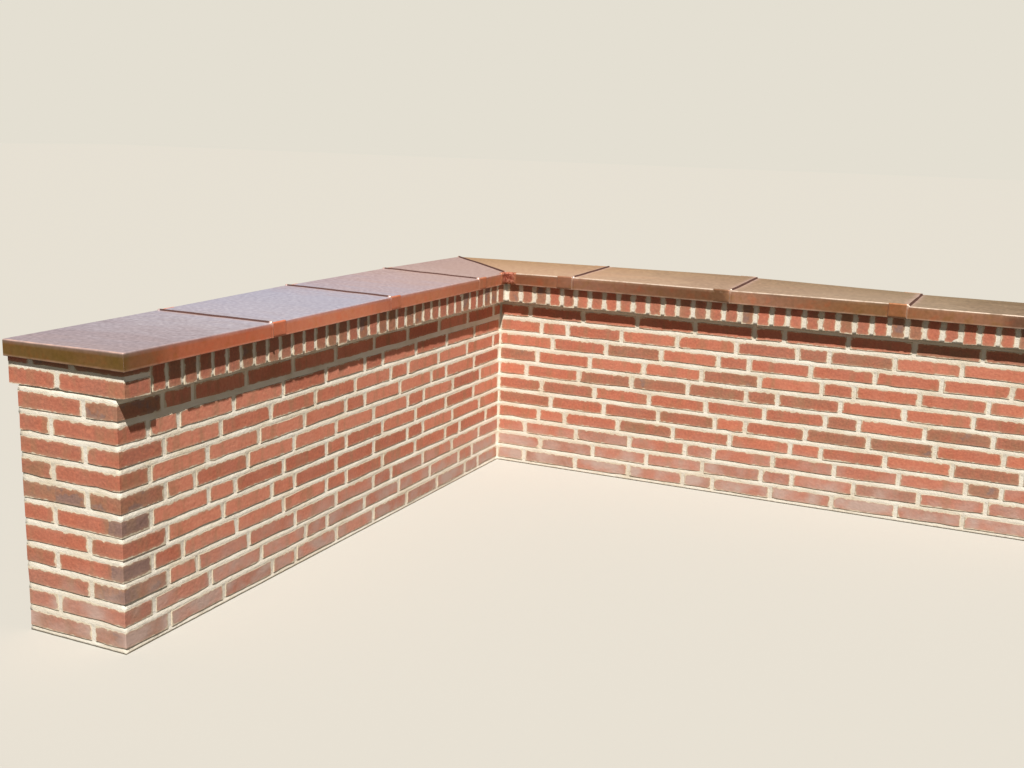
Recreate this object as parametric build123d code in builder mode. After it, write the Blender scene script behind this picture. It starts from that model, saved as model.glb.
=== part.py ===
# Garden wall of two legs that meet at a right angle: brickwork one and a half bricks thick, a corbelled
# band of bricks on edge at its head, and a coping of folded copper trays with a turned-down edge.
# Millimetres, +Z up. The origin is on the ground, at the middle of the box round the whole wall.
# Places are measured from the inner corner, where the two inner faces meet: the left leg runs from it
# towards -Y, the right leg towards +X, and both show their inner faces to the quarter between them.
import os
from build123d import *

# Bricks and mortar
brick_length = 240.0
brick_width = 115.0
brick_height = 52.0
bat_length = 178.0           # three-quarter bat, in the garden row of the band
joint = 15.0                 # beds and upright joints

# Wall below the band
course_count = 11            # courses from the ground to the band
left_length = 2430.0         # inner face, from the inner corner to the free end
right_length = 2500.0        # inner face, from the inner corner to the far end

# Coping
bedding = 18.0               # mortar bed between the band and the copper
overhang = 10.0              # outside of the turned-down edge beyond the band
sheet = 1.0                  # copper sheet
edge_depth = 53.0            # turned-down edge, from the top of the coping
bend_radius = 2.5            # outside of the bend between top and edge
hem_depth = 8.0              # lower rim of that edge, folded back up behind it
left_tray_length = 733.0     # from seam to seam on the left leg
right_tray_length = 705.0    # from seam to seam on the right leg
left_corner_seam = 311.0     # first seam on the left leg, from the inner corner
right_corner_seam = 365.0    # first seam on the right leg, from the inner corner
fold_width = 8.0             # folded seam across the trays
fold_height = 3.0            # stands this far out of the sheet
lap_length = 75.0            # edge of a tray that laps over the edge of the tray before it
patch_length = 48.0          # soldered patch round the inner corner, along each edge
patch_sheet = 0.8

# Derived sizes
wall_thickness = brick_length + joint + brick_width
wall_head = course_count * (joint + brick_height) + joint
band_width = brick_length + joint + bat_length
projection = (band_width - wall_thickness) / 2
band_head = wall_head + brick_width
coping_head = band_head + bedding + sheet
edge_foot = coping_head - edge_depth
bend_foot = coping_head - bend_radius
end_length = brick_width + joint
end_bed = brick_width - 2 * brick_height
inner_row = brick_length + joint / 2
garden_row = bat_length + joint / 2

# Faces in plan, from the inner corner
band_garden = wall_thickness + projection
edge_inner = projection + overhang
edge_garden = band_garden + overhang
left_reach = left_length + overhang
right_reach = right_length + overhang
beyond = 10 * fold_height

# The inner corner, seen from the origin
corner_x = (edge_garden + fold_height - right_reach) / 2
corner_y = (left_reach - edge_garden - fold_height) / 2


def spot(x, y):
    """A place in plan that is given from the inner corner, seen from the origin."""
    return (corner_x + x, corner_y + y)


def left(along, behind):
    """A place on the left leg: so far from the inner corner, so far behind the inner face."""
    return (-behind, -along)


def right(along, behind):
    """A place on the right leg, in the same two measures."""
    return (along, behind)


def save(piece, label):
    """Names a finished piece and writes it."""
    piece.label = label
    export_step(piece, f"parts/{label}.step")


def outline(points, level, depth, mode=Mode.ADD, grow=0.0):
    """Raises a plan outline from a level, after moving its sides out by grow."""
    with BuildSketch(Plane.XY.offset(level)) as plan:
        with BuildLine():
            Polyline(*[spot(*point) for point in points], close=True)
        make_face()
        if grow:
            offset(amount=grow, kind=Kind.INTERSECTION)
    extrude(plan.sketch, amount=depth, mode=mode)


def stretch(leg, start, finish, front, back):
    """The plan of a straight run of a leg, between two lengths and two depths behind its inner face."""
    return [leg(start, front), leg(finish, front), leg(finish, back), leg(start, back)]


def masonry(label, plan, foot, head):
    """One mass of brickwork or mortar."""
    with BuildPart() as mass:
        outline(plan, foot, head - foot)
    save(mass.part, label)


# The whole coping in plan: two legs and the mitre between them
coping_plan = [
    left(left_reach, -edge_inner),
    left(left_reach, edge_garden),
    (-edge_garden, edge_garden),
    right(right_reach, edge_garden),
    right(right_reach, -edge_inner),
    (edge_inner, -edge_inner),
]
mitre_inner = (edge_inner + beyond, -edge_inner - beyond)
mitre_garden = (-edge_garden - beyond, edge_garden + beyond)
half_mitre_fold = fold_width / 2 * 2 ** 0.5


def coping_body(grow):
    """The outer form of the whole coping, with its top edge bent round, moved out by grow on every side."""
    with BuildPart(mode=Mode.PRIVATE) as body:
        outline(coping_plan, edge_foot, edge_depth + grow, grow=grow)
        fillet(body.edges().group_by(Axis.Z)[-1], bend_radius + grow)
    return body.part


# Copper before it is cut into trays: flat top, turned-down edge and the hem behind its lower rim
with BuildPart() as copper:
    add(coping_body(0))
    add(coping_body(-sheet), mode=Mode.SUBTRACT)
    with BuildPart(mode=Mode.PRIVATE) as hem:
        outline(coping_plan, edge_foot, hem_depth, grow=-sheet)
        outline(coping_plan, edge_foot, hem_depth, Mode.SUBTRACT, grow=-2 * sheet)
    add(hem.part)

# Skins over the copper, from which folds, laps and patches are cut
with BuildPart() as fold_skin:
    add(coping_body(fold_height))
    add(coping_body(0), mode=Mode.SUBTRACT)

with BuildPart() as lap_skin:
    add(coping_body(sheet))
    add(coping_body(0), mode=Mode.SUBTRACT)

with BuildPart() as patch_skin:
    add(coping_body(patch_sheet))
    add(coping_body(0), mode=Mode.SUBTRACT)


def cut_from(skin, plan, foot, head):
    """The part of a skin that stands over a plan outline, between two levels."""
    with BuildPart(mode=Mode.PRIVATE) as piece:
        add(skin.part)
        outline(plan, foot, head - foot, Mode.INTERSECT)
    return piece.part


def run(leg, start, finish):
    """The plan of a stretch of a leg, a little wider than its coping."""
    return stretch(leg, start, finish, -edge_inner - beyond, edge_garden + beyond)


def tray(label, leg, start, finish):
    """A straight tray, with the fold at its seam and the laps of its edges towards the inner corner."""
    fold_start = start - fold_width / 2
    fold_plan = run(leg, fold_start, fold_start + fold_width)
    with BuildPart() as piece:
        add(cut_from(copper, run(leg, start, finish), edge_foot, coping_head))
        add(cut_from(fold_skin, fold_plan, edge_foot, coping_head + fold_height))
        add(cut_from(lap_skin, run(leg, start - lap_length, fold_start), edge_foot, bend_foot))
    save(piece.part, label)


def trays(side, leg, first_seam, tray_length, reach):
    """The straight trays of a leg, numbered from the inner corner; the last one closes its end."""
    count = max(1, round((reach - first_seam) / tray_length))
    for number in range(1, count):
        start = first_seam + (number - 1) * tray_length
        tray(f"{side}_tray_{number}", leg, start, start + tray_length)
    tray(f"{side}_end_tray", leg, first_seam + (count - 1) * tray_length, reach + beyond)


def leg_band(side, leg, length):
    """The band along one leg: two rows of bricks on edge, and the two flat courses of its end."""
    end = length - end_length
    masonry(f"{side}_band_inner", stretch(leg, projection, end, -projection, inner_row - projection),
            wall_head, band_head)
    masonry(f"{side}_band_garden", stretch(leg, projection, end, inner_row - projection, band_garden),
            wall_head, band_head)
    lower_head = wall_head + brick_height + end_bed
    plan = stretch(leg, end, length, -projection, band_garden)
    masonry(f"{side}_end_course_lower", plan, wall_head, lower_head)
    masonry(f"{side}_end_course_upper", plan, lower_head, band_head)


os.makedirs("parts", exist_ok=True)

# Brickwork below the band: the right leg holds the corner
masonry("left_wall", stretch(left, 0, left_length, 0, wall_thickness), 0, wall_head)
masonry("right_wall", stretch(right, -wall_thickness, right_length, 0, wall_thickness), 0, wall_head)

# Band and the mortar bed on it
leg_band("left", left, left_length)
leg_band("right", right, right_length)
masonry("band_corner", [
    (-band_garden, -projection),
    (projection, -projection),
    (projection, band_garden),
    (-band_garden, band_garden),
], wall_head, band_head)
masonry("left_bedding", stretch(left, projection, left_length, -projection, band_garden),
        band_head, band_head + bedding)
masonry("right_bedding", stretch(right, -band_garden, right_length, -projection, band_garden),
        band_head, band_head + bedding)

# Copper coping: the two mitred trays of the corner, then the straight trays of each leg
with BuildPart() as left_corner_tray:
    add(cut_from(copper, [
        mitre_inner,
        mitre_garden,
        left(left_corner_seam, edge_garden + beyond),
        left(left_corner_seam, -edge_inner - beyond),
    ], edge_foot, coping_head))
    add(cut_from(fold_skin, [
        (mitre_inner[0] + half_mitre_fold, mitre_inner[1]),
        (mitre_garden[0] + half_mitre_fold, mitre_garden[1]),
        (mitre_garden[0] - half_mitre_fold, mitre_garden[1]),
        (mitre_inner[0] - half_mitre_fold, mitre_inner[1]),
    ], bend_foot, coping_head + fold_height))
save(left_corner_tray.part, "left_corner_tray")

with BuildPart() as right_corner_tray:
    add(cut_from(copper, [
        mitre_inner,
        right(right_corner_seam, -edge_inner - beyond),
        right(right_corner_seam, edge_garden + beyond),
        mitre_garden,
    ], edge_foot, coping_head))
save(right_corner_tray.part, "right_corner_tray")

with BuildPart() as corner_patch:
    add(cut_from(patch_skin, [
        (edge_inner - beyond, -edge_inner + beyond),
        (edge_inner - beyond, -edge_inner - patch_length),
        (edge_inner + patch_length, -edge_inner - patch_length),
        (edge_inner + patch_length, -edge_inner + beyond),
    ], edge_foot, bend_foot))
save(corner_patch.part, "corner_patch")

trays("left", left, left_corner_seam, left_tray_length, left_reach)
trays("right", right, right_corner_seam, right_tray_length, right_reach)
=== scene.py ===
"""Looks of the garden wall: bricks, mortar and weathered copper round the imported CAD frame."""
import math
from functools import partial

import bpy
import numpy as np
from mathutils import Matrix, Vector


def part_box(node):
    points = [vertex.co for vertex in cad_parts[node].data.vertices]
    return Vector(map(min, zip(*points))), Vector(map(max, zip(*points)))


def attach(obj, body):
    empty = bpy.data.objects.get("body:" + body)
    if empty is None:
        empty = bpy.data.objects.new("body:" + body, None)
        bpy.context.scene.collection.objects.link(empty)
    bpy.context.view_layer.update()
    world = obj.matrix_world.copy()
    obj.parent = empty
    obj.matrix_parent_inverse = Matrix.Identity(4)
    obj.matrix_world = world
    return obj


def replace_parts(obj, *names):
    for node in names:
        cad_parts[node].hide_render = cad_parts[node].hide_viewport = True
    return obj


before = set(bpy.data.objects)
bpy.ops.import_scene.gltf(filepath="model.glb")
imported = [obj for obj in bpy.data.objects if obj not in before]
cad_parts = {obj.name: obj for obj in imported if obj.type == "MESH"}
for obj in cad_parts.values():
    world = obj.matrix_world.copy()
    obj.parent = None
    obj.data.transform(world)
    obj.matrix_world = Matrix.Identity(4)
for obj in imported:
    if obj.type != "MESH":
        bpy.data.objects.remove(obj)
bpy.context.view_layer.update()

MM = 0.001

# Bricks and joints, as in the wall that the frame holds
BRICK_LENGTH = 240 * MM
BRICK_WIDTH = 115 * MM
BRICK_HEIGHT = 52 * MM
BAT_LENGTH = 178 * MM
JOINT = 15 * MM
COURSE = BRICK_HEIGHT + JOINT
ARRIS = 2.4 * MM                 # worn edge of a brick
END_ARRIS = 1.5 * MM             # worn edge round its ends

# Places read from the frame
left_low, left_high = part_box("left_wall")
right_low, right_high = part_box("right_wall")
corner = np.array([left_high.x, right_low.y])          # inner corner in plan
wall_head = left_high.z
thickness = right_high.y - right_low.y
left_length = right_low.y - left_low.y
right_length = right_high.x - left_high.x
band_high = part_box("band_corner")[1]
projection = band_high.x - left_high.x
band_head = band_high.z
bedding_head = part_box("left_bedding")[1].z
course_count = round((wall_head - JOINT) / COURSE)


def linear(code):
    """An sRGB hex colour as linear red, green, blue and alpha."""
    parts = [int(code[i:i + 2], 16) / 255 for i in (1, 3, 5)]
    return [p / 12.92 if p <= 0.04045 else ((p + 0.055) / 1.055) ** 2.4 for p in parts] + [1.0]


# Meshes

def skin(name, points, faces, material, smooth=False):
    """A mesh from an array of points and arrays of faces, each array holding faces of one size.
    If its signed volume, the sum of each corner times the cross product of the next two, is below
    nought, the faces are turned round so that they look outwards."""
    volume = 0.0
    for group in faces:
        first = points[group[:, 0]]
        for k in range(1, group.shape[1] - 1):
            volume += np.einsum("ij,ij->", first, np.cross(points[group[:, k]], points[group[:, k + 1]]))
    if volume < 0:
        faces = [group[:, ::-1] for group in faces]
    totals = np.concatenate([np.full(len(group), group.shape[1]) for group in faces])
    corners = np.concatenate([group.ravel() for group in faces])
    mesh = bpy.data.meshes.new(name)
    mesh.vertices.add(len(points))
    mesh.vertices.foreach_set("co", points.astype(np.float32).ravel())
    mesh.loops.add(len(corners))
    mesh.loops.foreach_set("vertex_index", corners.astype(np.int32))
    mesh.polygons.add(len(totals))
    mesh.polygons.foreach_set("loop_start", np.concatenate([[0], np.cumsum(totals)[:-1]]).astype(np.int32))
    mesh.polygons.foreach_set("loop_total", totals.astype(np.int32))
    mesh.polygons.foreach_set("use_smooth", np.full(len(totals), smooth))
    mesh.update(calc_edges=True)
    mesh.validate()
    mesh.materials.append(material)
    piece = bpy.data.objects.new(name, mesh)
    bpy.context.scene.collection.objects.link(piece)
    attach(piece, "root")
    return piece


def cells(high, wide, closed=False):
    """The faces of a grid of points that are numbered row by row: the four corners of each cell, and
    its row and column. A closed grid also joins its last column to its first."""
    row, column = np.meshgrid(np.arange(high - 1), np.arange(wide if closed else wide - 1), indexing="ij")
    row, column = row.ravel(), column.ravel()
    after = (column + 1) % wide
    quads = np.stack([row * wide + column, row * wide + after, (row + 1) * wide + after,
                      (row + 1) * wide + column], axis=1)
    return quads, row, column


def note(piece, name, values):
    """Gives each point of a piece a number or a triple that its material reads."""
    kind = "FLOAT" if values.ndim == 1 else "FLOAT_VECTOR"
    field = "value" if values.ndim == 1 else "vector"
    attribute = piece.data.attributes.new(name, kind, "POINT")
    attribute.data.foreach_set(field, values.astype(np.float32).ravel())


PLANE_WAVES = 14


def ripple(points, size, seed):
    """A smooth random field, mostly from -1 to 1: plane waves in random directions, with wavelengths
    round the given size and each with its own phase, added up and divided by the root of twice
    their number."""
    draw = np.random.default_rng(seed)
    heading = draw.normal(size=(PLANE_WAVES, 3))
    heading /= np.linalg.norm(heading, axis=1)[:, None]
    rate = 2 * math.pi / (size * draw.uniform(0.6, 1.7, PLANE_WAVES))
    phase = draw.uniform(0, 2 * math.pi, PLANE_WAVES)
    total = np.zeros(points.shape[:-1])
    for k in range(PLANE_WAVES):
        total += np.sin(points @ heading[k] * rate[k] + phase[k])
    return total / math.sqrt(PLANE_WAVES * 2)


def waves(points, seed, pairs):
    """Smooth random fields added up: each pair is a wavelength and a height, in millimetres."""
    return sum(ripple(points, size * MM, seed + k) * height * MM for k, (size, height) in enumerate(pairs))


# Materials

def plug(node, sockets):
    """Sets sockets of a node: each is linked to an output or holds a constant, and a text is a colour.
    A socket is given by its name, or by its number where the name would not be enough."""
    for socket, source in sockets.items():
        if isinstance(source, bpy.types.NodeSocket):
            node.id_data.links.new(source, node.inputs[socket])
        else:
            node.inputs[socket].default_value = linear(source) if isinstance(source, str) else source


def knot(tree, kind, sockets=None, out=0, stops=None, **settings):
    """Adds a node and gives one of its outputs: its kind, what its sockets hold, which output, the
    stops of a ramp, and its settings."""
    made = tree.nodes.new("ShaderNode" + kind)
    for name, value in settings.items():
        setattr(made, name, value)
    plug(made, sockets or {})
    if stops:
        ramp = made.color_ramp.elements
        while len(ramp) < len(stops):
            ramp.new(0.5)
        for element, (position, code) in zip(ramp, stops):
            element.position = position
            element.color = linear(code)
    return made.outputs[out]


def bare_material(name):
    """A new material, its shader, and the function that adds a node to it."""
    material = bpy.data.materials.new(name)
    material.use_nodes = True
    return material, material.node_tree.nodes["Principled BSDF"], partial(knot, material.node_tree)


def shade_upward_faces(add, colour, level, steep, share):
    """A colour that darkens to a share of itself where the surface looks up: painted shade for the
    stronger sun on upward faces, between a level and a steep rise of its normal."""
    normal = add("NewGeometry", out="Normal")
    normal = add("SeparateXYZ", {0: normal}, out="Z")
    keep = add("MapRange", {0: normal, 1: level, 2: steep, 3: 1.0, 4: share})
    return add("VectorMath", {0: colour, 3: keep}, operation="SCALE")


# Bricks

class Side:
    """One face of the brickwork in plan: a starting corner, the way along it and the way into it. A
    brick is a row of numbers: its centre, the way along it, its half size, its tone, or -1 for one
    that is drawn later, and the way in which its free arris lies."""

    def __init__(self, start, along, inward):
        self.start = np.array(start, float)
        self.along = np.array(along, float)
        self.inward = np.array(inward, float)

    def brick(self, first, last, foot, depth=BRICK_WIDTH, fire=-1.0, quoin=0):
        """A brick between two lengths along the side, its outer face flush with the side. A quoin
        shows two faces, and its free arris is at its first end, -1, or at its last, 1."""
        centre = self.start + self.along * (first + last) / 2 + self.inward * depth / 2
        free = self.along * quoin - self.inward * abs(quoin)
        half = [(last - first) / 2, depth / 2, BRICK_HEIGHT / 2]
        return [*centre, foot + BRICK_HEIGHT / 2, *self.along, *half, fire, *free]

    def upright(self, first, last, foot, depth):
        """A brick on edge whose length runs into the wall, so that its end shows on the side."""
        centre = self.start + self.along * (first + last) / 2 + self.inward * depth / 2
        half = [depth / 2, (last - first) / 2, BRICK_WIDTH / 2]
        return [*centre, foot + BRICK_WIDTH / 2, *self.inward, *half, -1.0, 0, 0]


CORNER_GAP = 5 * MM              # mortar in the inner corner, on each leg
UNIT = {"S": BRICK_LENGTH + JOINT, "H": BRICK_WIDTH + JOINT}   # stretcher and header with a joint
SHORTEST = 60 * MM               # piece of brick that is still laid at the end of a course
SLIVER = 20 * MM                 # piece that is still laid where a course runs on into the wall
STRAY = 2.5 * MM                 # how far an upright joint strays from its place


def fill(side, start, finish, letters, foot, draw, fit=True, lead=None):
    """A stretch of a course between two lengths: bricks by a string of S, stretcher, and H, header,
    the last one cut so that it ends where the stretch does. A lead is the place of the first upright
    joint. Without fit the course runs on into the wall behind finish."""
    line = [start - JOINT / 2] if lead is None else [start - JOINT / 2, lead]
    left_over = iter(letters)
    while line[-1] < finish:
        line.append(line[-1] + UNIT[next(left_over, "S")])
    if fit:
        end = finish + JOINT / 2
        line = [joint for joint in line if joint < end - SHORTEST]
        if end - line[-1] > UNIT["S"] + JOINT:
            line.append((line[-1] + end) / 2)
        line.append(end)
    line = np.array(line)
    shift = draw.uniform(-STRAY, STRAY, len(line))
    shift[0] = shift[-1] = 0
    line = line + shift
    rows = []
    for first, last in zip(line[:-1], line[1:]):
        first, last = first + JOINT / 2, last - JOINT / 2
        if not fit:
            last = min(last, finish - CORNER_GAP)
        if last - first > SLIVER:
            rows.append(side.brick(first, last, foot))
    return rows


# Stations along a brick: share of the length between the worn ends, and which worn end it closes
STATIONS = np.array([[-1, -1], [-1, 0], [-0.82, 0], [-0.3, 0], [0.3, 0], [0.82, 0], [1, 0], [1, 1]], float)
RING = 8
SHELL = RING * len(STATIONS)     # points of one brick
NICK = 0.6                       # how much more the corners of its ends are worn, as a share
BITTEN = 0.3                     # share of the bricks with a corner knocked off
BITE = (0.4, 1.3)                # its depth, in millimetres
TURN = (0.2, 0.45, 0.1)          # degrees by which bricks were laid askew: roll, pitch and yaw
SETTLED = (0.35, 0.15, 0.9)      # millimetres out of place: along, across and up
UNEVEN = (0.3, 0.3, 2.5)         # millimetres by which the edges wave, along the axes of the frame
WAVE = 75 * MM                   # length of those waves
LANE = np.array([3.1, 1.7, 2.3])  # metres between two bricks in the field, so that no two wave alike
FREE_SHIFT = 20 * MM             # moves a free arris out of the reach of the mortar smears
BESIDE_DARK = 0.6                # tone of the rest of a brick whose end is hard-fired


def brick_shells(name, rows, seed, material, tones=(0.25, 0.9)):
    """Closed bricks with worn arrises, all in one mesh. A brick is an eight-sided section, a rectangle
    with its corners cut, carried along its length: the section is full from one worn end to the
    other and smaller by the arris at both ends. Every brick is then turned a little, its points are
    moved by a smooth field so that no edge is straight, and some corners are knocked off."""
    rows = np.array(rows)
    count = len(rows)
    draw = np.random.default_rng(seed)
    centre, along, half, fire, free = rows[:, 0:3], rows[:, 3:5], rows[:, 5:8], rows[:, 8], rows[:, 9:11]
    share, end = STATIONS[:, 0], STATIONS[:, 1]
    length = (share * (half[:, :1] - END_ARRIS) + end * END_ARRIS)[:, :, None] * np.ones(RING)
    inset = np.abs(end) * END_ARRIS
    nick = np.abs(end) * END_ARRIS * NICK
    side_sign = np.array([1, 1, -1, -1, -1, -1, 1, 1])
    up_sign = np.array([-1, 1, 1, 1, 1, -1, -1, -1])
    on_side = np.array([1, 1, 0, 0, 1, 1, 0, 0])       # corner points that lie on the side faces
    depth_full = half[:, 1, None, None] - inset[None, :, None]
    height_full = half[:, 2, None, None] - inset[None, :, None]
    cut = (ARRIS * (end == 0) + nick)[None, :, None]
    depth = side_sign * (depth_full - (1 - on_side) * cut)
    height = up_sign * (height_full - on_side * cut)
    local = np.stack([length, depth, height], axis=-1)

    # Corners knocked off: the points near one corner move in
    knocked = draw.random(count) < BITTEN
    sign = draw.choice([-1.0, 1.0], size=(count, 3))
    sign[:, 1] = -1
    bite = draw.uniform(*BITE, count) * MM * knocked
    near = ((share * sign[:, :1] == 1)[:, :, None] * (side_sign * sign[:, 1:2] > 0)[:, None, :]
            * (up_sign * sign[:, 2:3] > 0)[:, None, :])
    local -= near[..., None] * sign[:, None, None, :] * bite[:, None, None, None]

    # Small turns about the three axes
    turn = np.radians(draw.normal(0, TURN, (count, 3)))
    x, y, z = local[..., 0], local[..., 1], local[..., 2]
    roll, pitch, yaw = (turn[:, k, None, None] for k in range(3))
    settled = np.stack([x - yaw * y + pitch * z, y + yaw * x - roll * z, z - pitch * x + roll * y], axis=-1)
    settled += draw.normal(0, np.array(SETTLED) * MM, (count, 1, 1, 3))

    across = np.stack([-along[:, 1], along[:, 0]], axis=1)
    place = np.zeros_like(settled)
    place[..., 0:2] = (settled[..., :1] * along[:, None, None, :]
                       + settled[..., 1:2] * across[:, None, None, :])
    place[..., 2] = settled[..., 2]
    place += centre[:, None, None, :]
    flat = place.reshape(-1, 3)
    lane = np.repeat(np.arange(count), SHELL)[:, None] * LANE
    for axis, amount in enumerate(UNEVEN):
        flat[:, axis] += amount * MM * ripple(flat + lane, WAVE, seed + axis)

    quads = cells(len(STATIONS), RING, closed=True)[0]
    caps = np.stack([np.arange(RING)[::-1], SHELL - RING + np.arange(RING)])
    start = (np.arange(count) * SHELL)[:, None, None]
    faces = [(group + start).reshape(-1, group.shape[1]) for group in (quads, caps)]
    piece = skin(name, flat, faces, material)
    tone = np.where(fire >= 0, fire, tones[0] + (tones[1] - tones[0]) * draw.random(count))
    tone = tone[:, None] * np.ones(len(STATIONS))
    towards_arris = share * np.einsum("ij,ij->i", free, along)[:, None]
    tone = np.where((tone > 1) & (towards_arris < 0.8), BESIDE_DARK, tone)
    note(piece, "tone", np.repeat(tone.reshape(-1), RING))
    note(piece, "batch", np.repeat(draw.random(count), SHELL))

    # The material finds the edges that mortar lies on from each point's place in its brick and the
    # brick's half size, both along the axes of the frame. A free arris is moved out of its reach.
    inside = place - centre[:, None, None, :]
    inside[..., :2] -= free[:, None, None, :] * FREE_SHIFT
    size = np.abs(along[:, :1]) * half[:, :2] + np.abs(along[:, 1:]) * half[:, 1::-1]
    size = np.concatenate([size + np.abs(free) * FREE_SHIFT, half[:, 2:]], axis=1)
    note(piece, "place", inside.reshape(-1, 3))
    note(piece, "half", np.repeat(size, SHELL, axis=0))
    return piece


# The sides of the wall below the band. Lengths on the left leg run from its free end.
cx, cy = corner
free_end, far_end = cy - left_length, cx + right_length
garden_x, garden_y = cx - thickness, cy + thickness
left_inner = Side((cx, free_end), (0, 1), (-1, 0))
left_garden = Side((garden_x, free_end), (0, 1), (1, 0))
left_end = Side((garden_x, free_end), (1, 0), (0, 1))
right_inner = Side((cx, cy), (1, 0), (0, 1))
right_garden = Side((garden_x, garden_y), (1, 0), (0, -1))
right_end = Side((far_end, cy), (0, 1), (-1, 0))

# Bond of the two inner faces, course by course from the band down, from the free end on the left leg
# and from the inner corner on the right leg, where the first upright joint is given in millimetres
LEFT_BOND = ["HSSSSSSSS", "HSSSSHSSSS", "SSSSSHSSS", "SSSSHSSHS", "HSSSSSHSS", "SHSSHSSSS",
             "SSHSSSHSS", "HSSSHSSSHSH", "HSSSSHSSS", "SSSHSSSSH", "SSHSSSSSH"]
RIGHT_BOND = [(150, "SSSSHSSS"), (205, "HSSSSHSS"), (265, "SSSHSSS"), (190, "SSSSSHSS"),
              (138, "SSSSHSSS"), (218, "SSSSSHSS"), (265, "SSSHSSSS"), (205, "HSSSSHSS"),
              (138, "SSSHSSSSH"), (221, "SSSSHSS"), (138, "SSSHSSSS")]
GARDEN_SHIFT = 4                 # the garden faces repeat the bond of other courses
DARK = 1.2                       # tone of a hard-fired end
DARK_COURSES = (5, 7)            # courses, from the band down, with such a header in the left end
END_TONES = (0.62, 1.0)          # darker bricks in the end of the left leg and most of the band


def courses():
    """All bricks below the band, as two lists: left leg and right leg. In turns, a course shows a
    stretcher first in the end of the left leg and a header first in that of the right, and the
    other way round."""
    draw = np.random.default_rng(11)
    kiln = np.random.default_rng(12)
    left, right = [], []
    left_run = left_length + thickness
    right_run = right_length + thickness
    for k in range(course_count):
        foot = wall_head - JOINT - k * COURSE - BRICK_HEIGHT
        turn = -1 if k % 2 else 1
        first, mirrored = (BRICK_LENGTH, BRICK_WIDTH)[::turn]
        deep, last_deep = (BRICK_WIDTH, BAT_LENGTH)[::turn]
        plain, dark = kiln.uniform(*END_TONES, 2)
        dark = DARK if k in DARK_COURSES else dark
        left += [left_end.brick(0, first, foot, deep, fire=plain, quoin=-1),
                 left_end.brick(first + JOINT, thickness, foot, last_deep, fire=dark, quoin=1)]
        right += [right_end.brick(0, mirrored, foot, last_deep, quoin=-1),
                  right_end.brick(mirrored + JOINT, thickness, foot, deep, quoin=1),
                  right_garden.brick(0, first, foot, mirrored, quoin=-1)]
        lead, bond = RIGHT_BOND[k]
        other = (k + GARDEN_SHIFT) % course_count
        left_other, (_, right_other) = LEFT_BOND[other], RIGHT_BOND[other]
        left += fill(left_inner, last_deep + JOINT, left_length, LEFT_BOND[k], foot, draw, fit=False)
        left += fill(left_garden, deep + JOINT, left_run - mirrored - JOINT, right_other, foot, draw)
        right += fill(right_inner, CORNER_GAP, right_length - last_deep - JOINT, bond, foot, draw,
                      lead=lead * MM)
        right += fill(right_garden, first + JOINT, right_run - deep - JOINT, left_other, foot, draw)
    return left, right


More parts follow.
